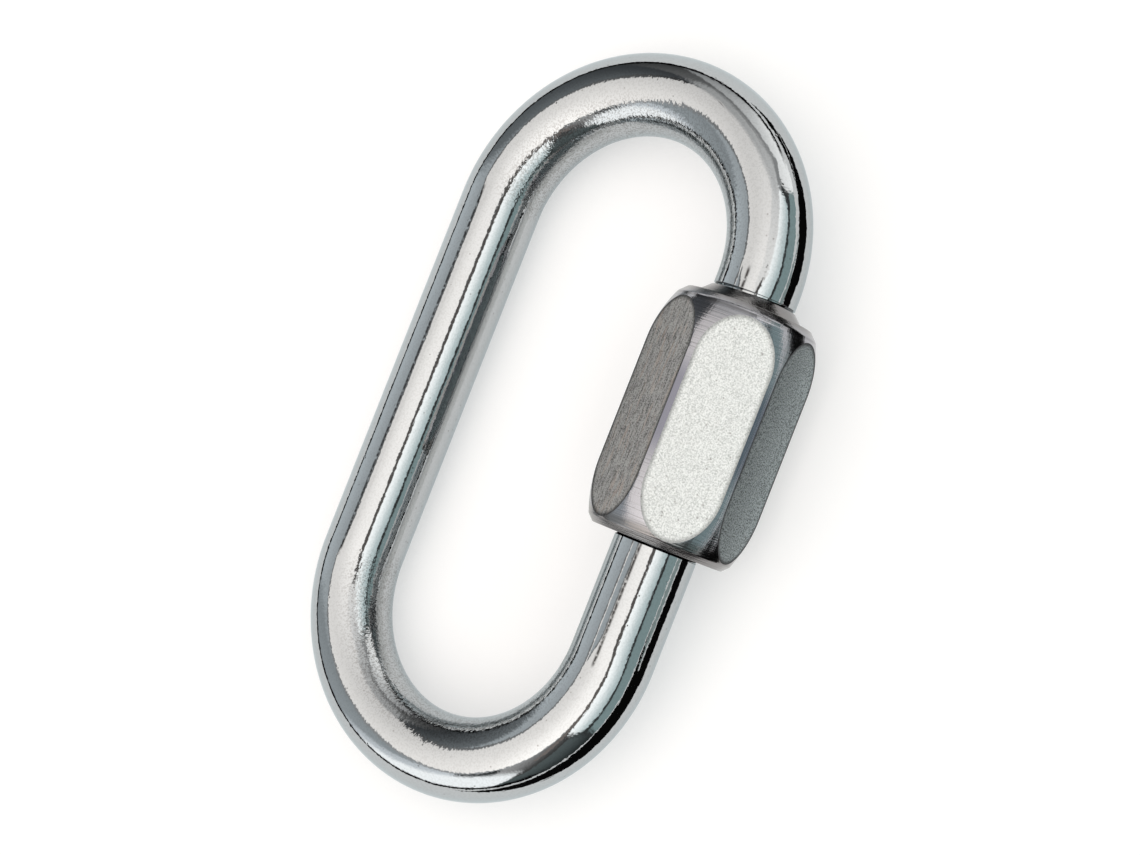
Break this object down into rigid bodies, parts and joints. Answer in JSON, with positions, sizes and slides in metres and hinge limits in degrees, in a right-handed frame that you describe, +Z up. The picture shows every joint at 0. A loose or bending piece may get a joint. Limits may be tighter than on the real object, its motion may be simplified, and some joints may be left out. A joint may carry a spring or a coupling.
{
  "type": "chain quick link",
  "caption": "Oval quick link of polished round steel rod whose side gate is closed by a hexagonal threaded sleeve nut, for joining chain, rings or rope.",
  "frame": {"origin": "on the surface that the link lies on, under the middle of its box", "axes": "+Z up from that surface, +Y along the legs towards the bow that the nut closes up to, +X towards the gate leg"},
  "size_m": [0.0412, 0.0744, 0.0158],
  "materials": {
    "polished_rod": "polished",
    "satin_nut": "satin"
  },
  "bodies": {
    "link": {"link_body": "polished_rod"},
    "nut": {"sleeve_nut": "satin_nut"}
  },
  "joints": [
    {"name": "nut_travel", "type": "slide", "parent": "link", "child": "nut", "axis": [0, -1, 0], "range_m": [0, 0.01]}
  ]
}
